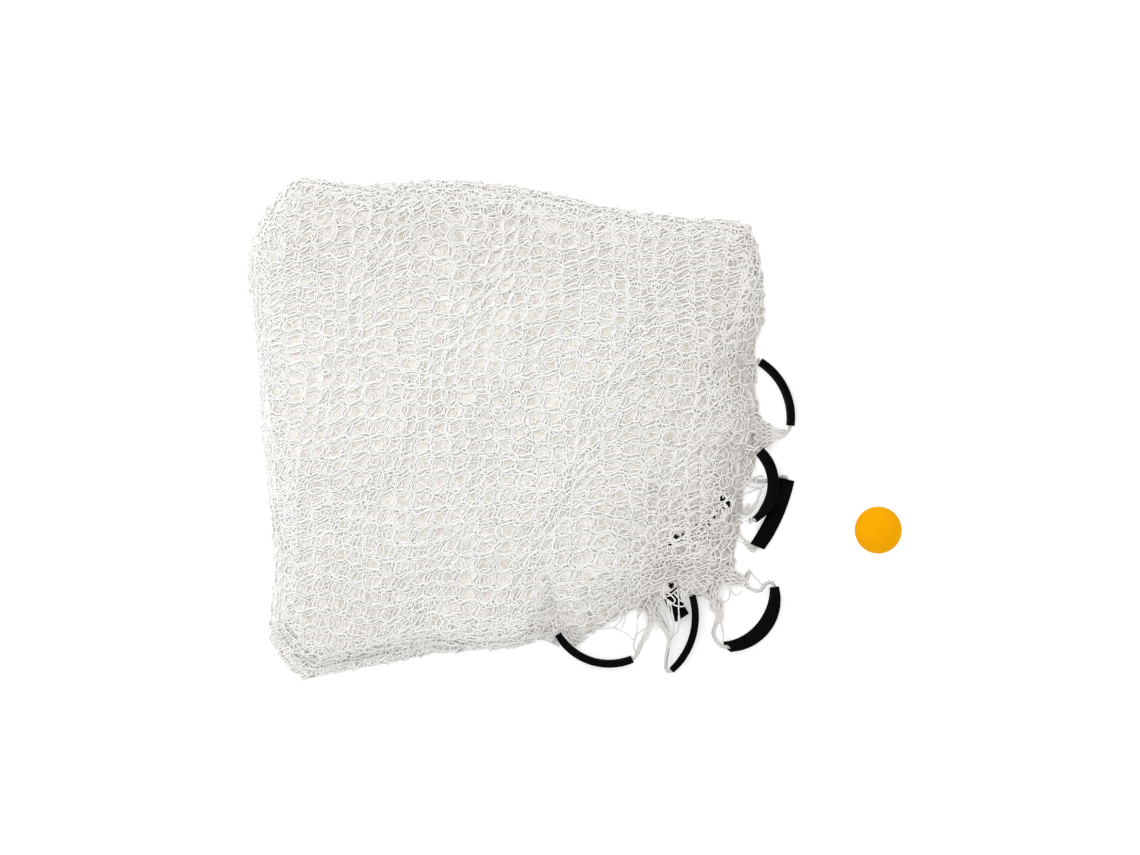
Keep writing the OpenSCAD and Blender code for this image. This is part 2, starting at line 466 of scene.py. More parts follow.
ROPE_FROM_SLEEVE = [  # and from its end back to the net
    [(251, 95, 9)],
    [(251, -27, 15)],
    [(291, -67, 4), (283, -68, 3.2), (270, -71, 3.2), (258, -73, 4), (248, -72, 7)],
    [(273, -213, 10), (265, -214, 9), (256, -224, 8), (244, -222, 7), (232, -213, 7)],
    [(162, -226, 10)],
    [(85, -314, 11), (91, -303, 10), (95, -291, 9), (103, -280, 8), (107, -269, 7),
     (106, -258, 7)],
]
print(len(SLEEVES), "sleeves,", len(ROPE_TO_SLEEVE), "of them on free rope")


# %% Routes of the free rope
def sleeve_roll(sleeve, share):
    """Roll of a sleeve's section in degrees, from its start at 0 to its end at 1."""
    start, middle, end = SLEEVE_BENDS[SLEEVES.index(sleeve)][:3]
    swell = np.sin(np.pi * share) ** 2
    at_ends = start * (1 - share) ** 3 + end * share**3
    return sleeve[5] + at_ends * (1 - swell) + middle * swell


def sleeve_height(sleeve, share=0.5):
    """Height of a sleeve's centre line, from its roll and its lift."""
    tilt = np.sin(np.radians(sleeve_roll(sleeve, share)))
    return (SLEEVE_WIDTH - SLEEVE_THICKNESS) / 2 * tilt + SLEEVE_THICKNESS / 2 + sleeve[6]


def sleeve_point(sleeve, share):
    """A point on a sleeve's centre line, from its start at 0 to its end at 1."""
    x, y, radius, start, sweep = sleeve[:5]
    angle = math.radians(start + sweep * share)
    return (
        x + radius * math.cos(angle), y + radius * math.sin(angle), sleeve_height(sleeve, share)
    )


def rope_route(i):
    """The free stretch at handle i + 1, from the net through the sleeve to the net."""
    inside = [sleeve_point(SLEEVES[i], k / 6) for k in range(7)]
    return smooth_route([*ROPE_TO_SLEEVE[i], *inside, *ROPE_FROM_SLEEVE[i]], 1.5) * MM


# %% Eight braided strands round each route
BRAID_PITCH, BRAID_RADIUS, STRAND_THICKNESS = 22 * MM, 1.75 * MM, 2.1 * MM
OVER_UNDER = 0.2  # of the radius, out and in as the strands cross


def braid(route, pitch=BRAID_PITCH, radius=BRAID_RADIUS):
    """Routes of the eight strands round one rope route."""
    _, side, up = unit_frame(np.gradient(route, axis=0))
    run = run_along(route)[:, None]
    strands = []
    for k in range(8):
        hand = 1 if k % 2 else -1
        turn = hand * 2 * np.pi * run / pitch + np.pi / 2 * (k // 2)
        reach = radius * (1 + hand * OVER_UNDER * np.cos(2 * turn))
        strands.append(route + reach * (side * np.cos(turn) + up * np.sin(turn)))
    return strands, float(run[-1, 0])


for i in range(6):
    route = rope_route(i)
    strands, length = braid(route)
    rope = sweep_twine(
        f"rope_{i + 1}", strands, STRAND_THICKNESS, rope_white, f"handle_{i + 1}"
    )
    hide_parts(f"rim_rope_{i + 1}")
    print(f"{rope.name}: {length * 1000:.0f} mm, {triangles(rope)} triangles")

# %% [markdown]
# ## The form of the folded pile
#
# The netting has to lie on the form of the CAD pile: flat on top, then down round
# three folded rolls, or down a loose border behind the handles. The CAD node's own
# corners lie in columns, each in one direction from the pile's centre, so they give
# a profile for each direction. A point of the netting is then found from its
# direction and from how far it lies along the profile, as on cloth laid over a form.

# %% One profile for each direction
PROFILE_STEP = 2 * MM
SAME_BEARING = 0.002  # radians, less than between two profiles

pile_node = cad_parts["folded_net"]
corners = np.unique(np.round([list(v.co) for v in pile_node.data.vertices], 5), axis=0)
from_centre = corners[:, :2] - PILE_CENTRE
away = np.hypot(*from_centre.T) > 5 * MM
corners, from_centre = corners[away], from_centre[away]
radii = np.hypot(*from_centre.T)
bearings = np.arctan2(from_centre[:, 1], from_centre[:, 0])
order = np.argsort(bearings)
columns = np.split(order, np.flatnonzero(np.diff(bearings[order]) > SAME_BEARING) + 1)
if abs(bearings[columns[0]].mean() + 2 * np.pi - bearings[columns[-1]].mean()) < SAME_BEARING:
    columns[0] = np.concatenate([columns[0], columns.pop()])
print(len(columns), "profiles of", {len(c) for c in columns}, "corners")


# %% Smooth profiles, measured from the floor up
def cut_corners(points):
    """Chaikin's rule: each corner becomes two, a quarter of the way along its sides."""
    near = 0.75 * points[:-1] + 0.25 * points[1:]
    far = 0.25 * points[:-1] + 0.75 * points[1:]
    middle = np.stack([near, far], axis=1).reshape(-1, points.shape[1])
    return np.vstack([points[:1], middle, points[-1:]])


def smooth_profile(column):
    """Radius and height at even steps from the floor, round the rim and to the centre."""
    line = np.column_stack([radii[column], corners[column, 2]])
    line = line[np.lexsort((-line[:, 0], line[:, 1].round(4)))]
    line = np.vstack([line, (0.0, line[-1, 1])])
    line = cut_corners(cut_corners(line))
    length = run_along(line)
    steps = np.arange(0, length[-1], PROFILE_STEP)
    return between_rows(steps, length, line), length[-1]


def wrap(rows):
    """The rows, with the last one also before them and the first one also after them."""
    return np.concatenate([rows[-1:], rows, rows[:1]])


directions = np.array([bearings[c].mean() for c in columns])
columns = [columns[i] for i in np.argsort(directions)]
directions.sort()
profiles, profile_lengths = zip(*[smooth_profile(c) for c in columns])
longest = max(len(p) for p in profiles)
wrapped_table = wrap(np.stack([
    np.vstack([p, np.repeat(p[-1:], longest - len(p), axis=0)]) for p in profiles
]))
wrapped_lengths = wrap(profile_lengths)
wrapped_directions = wrap(directions)
wrapped_directions[[0, -1]] += -2 * np.pi, 2 * np.pi
print(f"profiles are {min(profile_lengths):.3f} to {max(profile_lengths):.3f} m long")


def at_profiles(bearing, values):
    """What the profiles have, at bearings between them."""
    return np.interp(bearing, wrapped_directions, values)


# %% [markdown]
# The folds' edges aren't straight: each mesh along an edge bulges a little, so the
# outline is a chain of shallow scallops. Their place is counted along the outline.


# %% Scallops along the folds
def ease(value, start, end):
    """0 before start, 1 after end, and smooth between them."""
    s = np.clip((value - start) / (end - start), 0, 1)
    return s * s * (3 - 2 * s)


LOOSE_FROM, LOOSE_TO = (-1.55, -1.25), (0.35, 0.6)  # bearings in radians, each over a range
LEFT_FROM = (2.35, 2.5)  # and to the same bearing on the other side


def looseness(bearing):
    """1 along the loose border behind the handles, and 0 where the rim is rolled."""
    return ease(bearing, *LOOSE_FROM) * (1 - ease(bearing, *LOOSE_TO))


def leftness(bearing):
    """1 along the left fold, where the outermost ply stands alone, and 0 elsewhere."""
    return ease(np.abs(bearing), *LEFT_FROM)


SCALLOP, SCALLOP_TALL = 24 * MM, 2.6 * MM
SCALLOPS_END = (0.05, 0.08)  # metres up the profile, over which they fade
FOLD_PITCH = 40 * MM  # up the profile, from a fold to the next but one
OUTLINE_RUN = 12 * MM  # up the profile, where the pile is widest
outline_radii = wrapped_table[:, round(OUTLINE_RUN / PROFILE_STEP), 0]
outline = outline_radii[:, None] * np.column_stack(
    [np.cos(wrapped_directions), np.sin(wrapped_directions)]
)
outline_runs = run_along(outline)
outline_length = float(outline_runs[-1])


def scallops(bearing, run):
    """How far an edge stands out at a bearing. The next fold's scallops lie half a step on."""
    at = at_profiles(bearing, outline_runs)
    uneven = 0.75 + 0.35 * np.sin(at / 0.043) * np.sin(at / 0.019)
    bulge = np.abs(np.sin(np.pi * (at / SCALLOP + run / FOLD_PITCH))) - 0.55
    fade = (1 - ease(run, *SCALLOPS_END)) * (1 - 0.7 * looseness(bearing))
    return SCALLOP_TALL * uneven * bulge * fade


print(f"outline {outline_length:.2f} m, {outline_length / SCALLOP:.0f} scallops")


# %% A point of the netting, laid on the pile
FLAT_MIDDLE = (0.08, 0.14)  # metres from the centre, where the profiles stand too close


def profile_at(bearing, run):
    """Radius and height of the pile at a bearing, a run in metres up from the floor."""
    place = at_profiles(bearing, np.arange(len(wrapped_directions)))
    i = np.minimum(place.astype(int), len(wrapped_directions) - 2)
    across = (place - i)[..., None]
    step = np.clip(run / PROFILE_STEP, 0, longest - 1.001)
    k = step.astype(int)
    up = (step - k)[..., None]
    low = wrapped_table[i, k] * (1 - across) + wrapped_table[i + 1, k] * across
    high = wrapped_table[i, k + 1] * (1 - across) + wrapped_table[i + 1, k + 1] * across
    return low * (1 - up) + high * up


def at_bearing(bearing, reach, height):
    """Points at bearings and distances from the pile's centre."""
    x, y = PILE_CENTRE[0] + reach * np.cos(bearing), PILE_CENTRE[1] + reach * np.sin(bearing)
    return np.stack([x, y, height], axis=-1)


def surface_point(bearing, run, depth=0.0):
    """A point under the pile's surface by that depth."""
    here = profile_at(bearing, run)
    step = profile_at(bearing, run - 0.003) - profile_at(bearing, run + 0.003)
    step /= np.maximum(np.linalg.norm(step, axis=-1), 1e-6)[..., None]
    radius = here[..., 0] + step[..., 1] * depth + scallops(bearing, run)
    return at_bearing(bearing, radius, here[..., 1] - step[..., 0] * depth)


def lay_on_pile(x, y, depth):
    """Lays flat netting on the pile. Gives the points and their runs up from the floor."""
    bearing, reach = np.arctan2(y, x), np.hypot(x, y)
    run = at_profiles(bearing, wrapped_lengths) - reach
    points = surface_point(bearing, run, depth)
    middle = 1 - ease(reach, *FLAT_MIDDLE)
    flat = np.stack([PILE_CENTRE[0] + x, PILE_CENTRE[1] + y, points[..., 2]], axis=-1)
    return points + (flat - points) * middle[..., None], run


def pile_height(x, y):
    """Height of the pile's upper side at places on the floor plan."""
    bearing = np.arctan2(y - PILE_CENTRE[1], x - PILE_CENTRE[0])
    reach = np.hypot(x - PILE_CENTRE[0], y - PILE_CENTRE[1])
    runs = np.arange(longest) * PROFILE_STEP
    heights = []
    for b, r in zip(bearing, reach):
        profile = profile_at(np.full(longest, b), runs)
        under = profile[profile[:, 0] >= r, 1]
        heights.append(under.max() if len(under) else 2 * MM)
    return np.array(heights)


# %% [markdown]
# ## Soft folds on the crown
#
# A pile of net is never quite flat. A few long, low valleys and ridges are pressed
# into the crown, and slow waves run over all of it. Each fold is a line with a
# width and a height, and it fades out like a bell to both sides.

# %% Height of the crown's folds
FOLDS = [  # points of the fold line, half width and height, in millimetres
    ([(75, 300), (42, 233), (92, 190), (110, 150)], 13, -5),
    ([(20, 270), (5, 215), (45, 150)], 16, 3),
    ([(205, 250), (190, 150), (175, 60)], 18, 3),
    ([(150, 30), (135, -45), (100, -110)], 12, -5),
    ([(60, -20), (90, -90), (60, -160)], 16, 3),
    ([(-410, 260), (-330, 200), (-300, 120)], 18, -4),
    ([(-330, -180), (-230, -210), (-120, -200)], 16, -3),
    ([(-300, 300), (-180, 290), (-60, 300)], 14, 3),
]
RELIEF_STARTS = (0.06, 0.13)  # metres up from the floor, over which the folds set in


def crown_relief(points):
    """Height that the folds and slow waves add to points of the crown."""
    x, y = points[..., 0] / MM, points[..., 1] / MM  # slow waves and folds, all in mm
    height = 0.9 * np.sin(x / 31 + 1.3 * np.sin(y / 57)) * np.sin(y / 37 + 0.7)
    height += 0.7 * np.sin(x / 17 + 2 * np.sin(y / 41 + 1)) * np.sin(y / 23)
    for line, half_width, tall in FOLDS:
        route = flat_route(line, 4)
        away = np.min([np.hypot(x - a, y - b) for a, b, _ in route], axis=0)
        height += tall * np.exp(-((away / half_width) ** 2))
    return height * MM


# %% [markdown]
# ## The folded plies
#
# Flat on a table the net covers 4.9 square metres, and the pile covers less than
# half a square metre, so about eleven plies lie on each other. The lower ones only
# show as a pale ground between the twines, so each is one thin sheet, and the
# outermost is folded round the rim and over the crown. Two of the net's sleeves lie
# buried near the handles. The outermost ply lies over them, and a few small windows
# in it let the black foam show between the twines.


# %% Where the netting is open, and how it lies over the buried sleeves
BURIED_SLEEVES = SLEEVES[6:]
SLEEVE_ROOM = 25
BURIED = [  # centre x, y and radius of circles along the two buried sleeves, in mm
    (*sleeve_point(sleeve, share)[:2], SLEEVE_ROOM)
    for sleeve in BURIED_SLEEVES for share in np.linspace(0, 1, 15)
]
WINDOWS = [  # the same of each opening in the outermost ply
    (135, -154, 7), (143, -153, 5), (151, -150, 7), (158, -143, 8), (170, -138, 6),
    (181, -133, 6), (189, -121, 6), (197, -114, 5), (207, -103, 8), (201, -96, 4),
    (133, -217, 4), (139, -238, 12), (150, -255, 12), (146, -226, 5),
]


def from_circles(points, circles):
    """Distance in millimetres, seen from above, to the nearest circle's edge."""
    x, y = points[..., 0] / MM, points[..., 1] / MM
    return np.min([np.hypot(x - a, y - b) - r for a, b, r in circles], axis=0)


def clear_buried_sleeves(points, gap, beside=13.5):
    """Lifts netting that crosses the two sleeves in the pile on to their upper sides."""
    x, y, z = points.T.reshape(3, -1)
    for sleeve in BURIED_SLEEVES:
        cx, cy, radius, start, sweep = sleeve[:5]
        away = np.abs(np.hypot(x / MM - cx, y / MM - cy) - radius)
        angle = np.degrees(np.arctan2(y / MM - cy, x / MM - cx)) % 360
        inside = ((angle - start + 3) % 360 < sweep + 6) & (away < beside)
        top = (sleeve_height(sleeve) + SLEEVE_THICKNESS / 2) * MM + gap
        z = np.where(inside, np.maximum(z, top), z)
    return np.column_stack([x, y, z])


def bearing_of(share):
    """The bearing at a share, 0 to 1, of the way round the pile."""
    return (share * 2 - 1) * np.pi


# %% Eleven thin plies and the folded skin
PLY_COUNT, PLY_INSET = 11, 4 * MM
PLY_BOTTOM, PLY_TOP = 0.8 * MM, 36 * MM
SKIN_DEPTH, CROWN_DEPTH = 3.3 * MM, 3.8 * MM
SKIN_START, SKIN_RUN = 2 * MM, 90 * MM  # up from the floor, round the rim
CROWN_EDGE = 88 * MM  # up from the floor, where the crown's ply ends


def ply_edge(bearing, height):
    """How far a ply at that height reaches from the pile's centre."""
    edges = [np.interp(height, p[:, 1], p[:, 0]) for p in wrapped_table]
    return at_profiles(bearing, edges) - PLY_INSET


def add_grid(bm, around, out):
    """A new sheet of quads. Gives its vertices, and two numbers from 0 to 1 for each."""
    grid = bmesh.ops.create_grid(bm, x_segments=around, y_segments=out, size=1)["verts"]
    spots = np.array([v.co[:2] for v in grid]) / 2 + 0.5
    return grid, spots[:, 0], spots[:, 1]


def place_vertices(vertices, points):
    """Moves vertices to points, in their order."""
    for vertex, point in zip(vertices, points):
        vertex.co = point


def open_plies(bm, circles):
    """Deletes the faces that lie in the circles, above the lowest ply."""
    middles = np.array([f.calc_center_median() for f in bm.faces])
    gone = (from_circles(middles, circles) < 0) & (middles[:, 2] > 1.5 * MM)
    faces = [f for f, out in zip(bm.faces, gone) if out]
    bmesh.ops.delete(bm, geom=faces, context="FACES")


plies = bmesh.new()
for k in range(PLY_COUNT):
    height = PLY_BOTTOM + (PLY_TOP - PLY_BOTTOM) * k / (PLY_COUNT - 1)
    grid, across, out = add_grid(plies, 120, 8)
    bearing = bearing_of(across)
    wave = 0.5 * MM * np.sin(9 * bearing + k) * out if k else 0 * out
    place_vertices(grid, at_bearing(bearing, out * ply_edge(bearing, height), height + wave))
open_plies(plies, BURIED)

rim_grid, across, out = add_grid(plies, 760, 40)
rim = surface_point(bearing_of(across), SKIN_START + out * SKIN_RUN, SKIN_DEPTH)
place_vertices(rim_grid, clear_buried_sleeves(rim, 0.2 * MM, 15))
crown_grid, across, out = add_grid(plies, 280, 56)
bearing = bearing_of(across)
reach = out * (at_profiles(bearing, wrapped_lengths) - CROWN_EDGE)
depth = CROWN_DEPTH - (CROWN_DEPTH - SKIN_DEPTH) * out**8
crown, run = lay_on_pile(reach * np.cos(bearing), reach * np.sin(bearing), depth)
crown[:, 2] += crown_relief(crown) * ease(run, *RELIEF_STARTS)
place_vertices(crown_grid, crown)

open_plies(plies, WINDOWS)
bmesh.ops.remove_doubles(plies, verts=plies.verts, dist=0.02 * MM)
ply_area = sum(f.calc_area() for f in plies.faces)
netting_plies = finish_piece(
    "netting_plies", mesh_of(plies, "netting_plies"), ply_fill, "net"
)
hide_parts("folded_net")
print(f"plies: {ply_area:.2f} square metres, {triangles(netting_plies)} triangles")

# %% [markdown]
# ## Knotless meshes
#
# A knotless net is made of long twines side by side. Each swings to the left and
# to the right, and where two meet they are joined, which leaves square openings,
# about 22 mm from one to the next, in rows and columns. The plies were pushed
# together, so most of them lie turned alike, a little shifted, and drift to and fro
# on the shared waves. Each also wanders a little on its own, as a soft net does.

# %% Routes of the twines in one ply
NET_REACH = 0.60
TWINE = 2.1 * MM
SWING, BOW = 0.53, 0.09  # of a mesh, across the twine and along it
SLOW_WANDER = (1.7 * MM, (0.27, 0.35, 0.19))  # size, and wave lengths in metres
QUICK_WANDER = (1.7 * MM, (0.047, 0.036, 0.029, 0.023, 0.018))
OWN_SWAY, OWN_RISE = (0.6 * MM, 1.9), (0.9 * MM, 1.27)  # size, and radians for each half mesh
CROSSING_RISE = 0.5 * MM


def wander(x, y, seed, size, lengths):
    """A slow two-way drift of the given size, as sums of waves."""
    drift = np.zeros((2, *x.shape))
    for axis, pace, angle, phase in drift_waves(seed, lengths):
        drift[axis] += np.sin(pace * (x * np.cos(angle) + y * np.sin(angle)) + phase)
    return drift * size / math.sqrt(len(lengths))


def twine_grid(turn, shift, parts, seed, size):
    """All twines of one flat ply, a row of points for each twine."""
    wide, high = MESH_WIDTH * size, MESH_HEIGHT * size
    count = int(NET_REACH / wide)
    along = np.arange(-NET_REACH / high, NET_REACH / high, 1 / parts)
    twine, step = np.meshgrid(np.arange(-count, count + 1), along, indexing="ij")
    swing = step + twine
    x = wide * (twine + shift[0] + SWING * np.cos(np.pi * swing))
    y = high * (step + shift[1] + BOW * np.sin(2 * np.pi * swing))
    shared = wander(x, y, *SHARED_DRIFT)
    slow, quick = wander(x, y, seed, *SLOW_WANDER), wander(x, y, seed + 50, *QUICK_WANDER)
    x, y = x + shared[0] + slow[0] + quick[0], y + shared[1] + slow[1] + quick[1]
    rng = np.random.default_rng(seed + 90)
    own = rng.uniform(0, 2 * np.pi, (2, len(x), 1))
    x = x + OWN_SWAY[0] * np.sin(step * OWN_SWAY[1] + own[0])
    rise = OWN_RISE[0] * np.sin(step * OWN_RISE[1] + own[1])
    rise += CROSSING_RISE * np.sin(np.pi * swing)
    cosine, sine = math.cos(math.radians(turn)), math.sin(math.radians(turn))
    return x * cosine - y * sine, x * sine + y * cosine, rise


def ply_routes(ply, seed, runs, size, near_windows):
    """Twine routes of one ply on the pile, kept between two runs up from the floor."""
    turn, shift, deep, parts, loose_start, left_start = ply
    x, y, rise = twine_grid(turn, shift, parts, seed, size)
    points, run = lay_on_pile(x, y, deep * MM - rise)
    points[..., 2] += crown_relief(points) * ease(run, *RELIEF_STARTS)
    points[..., 2] = np.maximum(points[..., 2], TWINE / 2)
    bearing = np.arctan2(y, x)
    kept = (run > runs[0]) & (run < runs[1])
    kept &= (run > loose_start * looseness(bearing)) & (run > left_start * leftness(bearing))
    if near_windows:
        kept &= from_circles(points, WINDOWS) < near_windows
    routes = []
    for line, keep in zip(points, kept):
        ends = np.flatnonzero(np.diff(np.concatenate([[0], keep, [0]])))
        for first, last in zip(ends[::2], ends[1::2]):
            if last - first > 2:
                routes.append(clear_buried_sleeves(line[first:last], (1.2 + deep / 20) * MM))
    return routes


# %% Plies over the crown, over the buried sleeves and round the rim
PLIES = {  # runs up from the floor in metres, mesh size, how near a window in mm, and plies:
    # turn in degrees, shift in meshes, depth in mm, points for each half mesh, and the run
    # where its twines start in the loose border and on the left fold, in metres
    "crown": ((0.062, 9), 1, None, [
        (44.3, (0.05, 0.0), 0.6, 8, 0.055, 0), (44.9, (0.16, 0.16), 1.0, 8, 0.062, 0),
        (43.9, (-0.18, 0.12), 1.4, 7, 0.072, 0), (45.1, (0.12, -0.19), 1.8, 7, 0.082, 0),
        (44.5, (-0.13, -0.17), 2.2, 7, 0.085, 0), (2.0, (0.6, 0.8), 2.8, 7, 0.075, 0),
        (119.0, (0.2, 0.3), 3.4, 7, 0.065, 0),
    ]),
    "cover": ((0.03, 9), 0.85, 16, [(37.0, (0.5, 0.7), 4.6, 7, 0.05, 0)]),
    "rim": ((0.002, 0.08), 0.85, None, [
        (47.0, (0.2, 0.1), 0.6, 8, 0, 0), (41.0, (0.6, 0.4), 1.1, 7, 0.022, 0.03),
        (44.0, (0.1, 0.7), 1.6, 7, 0.032, 0.040), (121.0, (0.4, 0.8), 2.2, 7, 0.042, 0.046),
        (3.0, (0.3, 0.5), 1.9, 7, 0.048, 0.046),
    ]),
}

twine_pieces = []
for kind, (runs, size, near, recipes) in PLIES.items():
    for k, ply in enumerate(recipes):
        routes = ply_routes(ply, 10 + len(twine_pieces), runs, size, near)
        material = twine_deep_shaded if ply[2] > 3 else twine_white
        piece = sweep_twine(f"netting_{kind}_{k + 1}", routes, TWINE, material)
        twine_pieces.append(piece)
        print(piece.name, len(routes), "twines,", triangles(piece), "triangles")

# %% [markdown]
# ## Edges of the folds
#
# At each fold the outermost twine runs along the edge in shallow scallops, one for
# each mesh, and here and there a mesh's corner sticks out as a small pointed loop.

# %% Edge twines and loose corners
EDGE_RUNS = (0.0105, 0.031, 0.050)  # metres up from the floor
EDGE_TWINE, CORNER_TWINE = 1.9 * MM, 1.7 * MM
CORNER_TALL = (2.5, 5.5)  # mm, least and most
CORNER_FOOT = np.array([-3, -1, 0, 1, 3]) * MM  # along the edge
ROLLED = ((0.6, np.pi), (-np.pi, -1.5))  # bearings between which the rim is rolled


def edge_routes():
    """Twines along the edges of the folds, a little up and down."""
    routes = []
    for k, run in enumerate(EDGE_RUNS):
        for first, last in ROLLED:
            bearing = np.linspace(first, last, 600)
            runs = run + 1.5 * MM * np.sin(bearing * 31 + k) * np.sin(bearing * 17)
            routes.append(surface_point(bearing, runs, 0.2 * MM))
    return routes


def corner_loops():
    """Small pointed loops at the scallops' ends, away from the handles."""
    rng = np.random.default_rng(5)
    loops = []
    for k in range(round(outline_length / SCALLOP)):
        at = k * SCALLOP
        bearing = np.interp(at, outline_runs, wrapped_directions)
        if rng.random() > 0.7 or looseness(bearing) > 0 or not -np.pi < bearing < np.pi:
            continue
        spots = np.interp(at + CORNER_FOOT, outline_runs, wrapped_directions)
        points = surface_point(spots, np.full(5, OUTLINE_RUN), 0.4 * MM)
        out = np.array([math.cos(bearing), math.sin(bearing), 0])
        tall = rng.uniform(*CORNER_TALL) * MM
        loops.append(points + np.outer([0, 0.55, 1, 0.55, 0], out) * tall)
    return loops


edge_twine = sweep_twine("netting_edges", edge_routes(), EDGE_TWINE, twine_white)
corner_routes = [smooth_route(corner, 1.2 * MM) for corner in corner_loops()]
loose_corners = sweep_twine("netting_corners", corner_routes, CORNER_TWINE, twine_white)
twine_pieces += [edge_twine, loose_corners]
print("edges:", triangles(edge_twine), "and", triangles(loose_corners), "triangles")

# %% [markdown]
# Part of the net's edge shows on the lowest folds, towards the lower left. It is
# bound with a narrow braid, made by the same helper as the rope, and the braid
# lies on the pile with its lower half sunk in the twine.

# %% The braided binding
BINDINGS = [  # points on the floor plan, in millimetres
    [(-388, -316), (-374, -319), (-353, -317), (-337, -310), (-324, -309), (-314, -316)],
    [(-312, -317), (-297, -316), (-274, -306), (-254, -294), (-237, -289), (-207, -285),
     (-190, -286), (-170, -293), (-150, -300), (-120, -301), (-95, -300), (-76, -298)],
    [(-66, -287), (-54, -283), (-45, -284)],
]
BINDING_PITCH, BINDING_RADIUS, BINDING_STRAND = 11 * MM, 1.6 * MM, 1.3 * MM

binding_strands = []
for points in BINDINGS:
    route = flat_route(points, 1.2) * MM
    route[:, 2] = pile_height(route[:, 0], route[:, 1]) + 0.4 * MM
    for _ in range(3):
        route[1:-1, 2] = (route[:-2, 2] + route[1:-1, 2] + route[2:, 2]) / 3
    binding_strands += braid(route, BINDING_PITCH, BINDING_RADIUS)[0]
binding = sweep_twine("netting_binding", binding_strands, BINDING_STRAND, twine_white)
twine_pieces.append(binding)
print("binding:", triangles(binding), "triangles")

# %% [markdown]
# ## Gathered netting
#
# Where the rope leaves the net, the rim meshes are pulled together on it. Some are
# drawn into bunches: pleated ply with twine swinging over it, closer and closer
# towards the rope. Others stand open as single twines. A bunch is laid between two
# edge lines, so its shape is given by where its two edges run.

# %% Where the gathers lie, in millimetres
FOLD_LINES = {  # handle: the two places where its rope leaves the net
    1: ((251, 94), (263, -17)), 2: ((254, -28), (236, -156)), 3: ((254, -28), (236, -156)),
    4: ((232, -213), (190, -236)), 5: ((163, -225), (118, -262)), 6: ((106, -258), (-27, -277)),
}
GATHERS = [  # CAD node, handle, height at start and end, bunches as two edges, single twines
    ("net_gather_1", 1, (9, 9), [
        ([(248, 20), (262, 10), (270, 7), (277, 1), (284, -2), (291, -1)],
         [(248, -38), (259, -30), (268, -24), (279, -17), (287, -12), (292, -6)]),
    ], [
        [(250, -24), (257, -17), (260, -20), (254, -28), (247, -27)],
        [(246, -6), (256, -4), (262, 2), (266, -2), (264, -12), (256, -15), (247, -12)],
    ]),
    ("net_gather_3", 3, (7, 7), [], [
        [(230, -86), (239, -77), (243, -73), (248, -68), (255, -66), (261, -66)],
        [(228, -92), (239, -89), (245, -87), (252, -83), (258, -82), (263, -79)],
        [(230, -74), (240, -79), (247, -81), (254, -82), (258, -86), (255, -93), (252, -100),
         (244, -109), (238, -116), (228, -118)],
        [(254, -97), (252, -103), (248, -110), (243, -116), (237, -119), (228, -116)],
        [(229, -112), (236, -110), (240, -104), (242, -106), (238, -112), (229, -117)],
        [(226, -146), (232, -151), (237, -155), (243, -161), (248, -164)],
    ]),
    ("net_gather_4_upper", 4, (10, 9), [
        ([(204, -178), (214, -183), (219, -195), (226, -198), (233, -202), (237, -208)],
         [(196, -210), (203, -214), (209, -215), (216, -216), (225, -217), (234, -216)]),
        ([(229, -207), (234, -203), (238, -197), (241, -194)],
         [(234, -216), (239, -211), (243, -204), (246, -198)]),
    ], [
        [(243, -198), (248, -204), (254, -210), (259, -215), (264, -215)],
        [(214, -212), (216, -222), (220, -229), (225, -230), (232, -224)],
        [(212, -212), (214, -221), (215, -227), (213, -236), (207, -240), (203, -243)],
        [(217, -192), (226, -201), (234, -210), (240, -215), (236, -220)],
    ]),
    ("net_gather_4_lower", 4, (10, 9), [
        ([(179, -210), (186, -227), (188, -240), (186, -246), (190, -252), (195, -256),
          (195, -263), (192, -270)],
         [(206, -203), (205, -216), (200, -224), (200, -232), (206, -240), (205, -248),
          (206, -259), (203, -270)]),
    ], [
        [(201, -266), (204, -275), (206, -287), (204, -296)],
        [(190, -247), (194, -238), (198, -242), (197, -249), (193, -251), (190, -247)],
    ]),
    ("net_gather_5", 5, (13, 9), [
        ([(98, -234), (100, -250), (107, -261), (117, -273), (126, -286), (129, -296)],
         [(121, -234), (117, -250), (120, -261), (125, -273), (131, -284), (133, -296)]),
    ], [
        [(118, -238), (121, -249), (126, -259), (131, -273), (134, -284), (132, -293), (131, -304)],
        [(128, -236), (131, -251), (136, -263), (137, -277), (135, -286), (132, -294)],
        [(144, -258), (144, -268), (143, -278), (139, -284), (135, -288)],
    ]),
    ("net_gather_6", 6, (9, 11), [
        ([(93, -242), (99, -255), (100, -266), (98, -277), (93, -287), (89, -297), (85, -306)],
         [(116, -239), (112, -254), (110, -266), (106, -279), (102, -289), (95, -298),
          (90, -307)]),
    ], [
        [(30, -274), (41, -277), (51, -275), (62, -278), (74, -285), (80, -291), (84, -288),
         (86, -278), (87, -265), (88, -246)],
        [(72, -244), (70, -260), (68, -270), (65, -277)],
        [(68, -248), (65, -262), (60, -270), (54, -275)],
        [(84, -289), (82, -298), (83, -306), (86, -313)],
        [(101, -276), (93, -279), (89, -282), (85, -288)],
        [(98, -244), (92, -254), (87, -262)],
        [(45, -262), (52, -265), (59, -260), (66, -254)],
    ]),
]


GATHER_TWINE = 2.5 * MM
PLEAT, BUNCH_MESH = 5, 9  # mm across a bunch for each twine or pleat, and along it
print(len(GATHERS), "gathers at", len({handle for _, handle, *_ in GATHERS}), "handles")


# %% Twine and pleated ply between two edges
def even_points(points, count):
    """That many evenly spaced points on the smooth curve through the given points."""
    route = flat_route(points, 1.0)[:, :2]
    run = run_along(route)
    return between_rows(np.linspace(0, run[-1], count), run, route), run[-1]


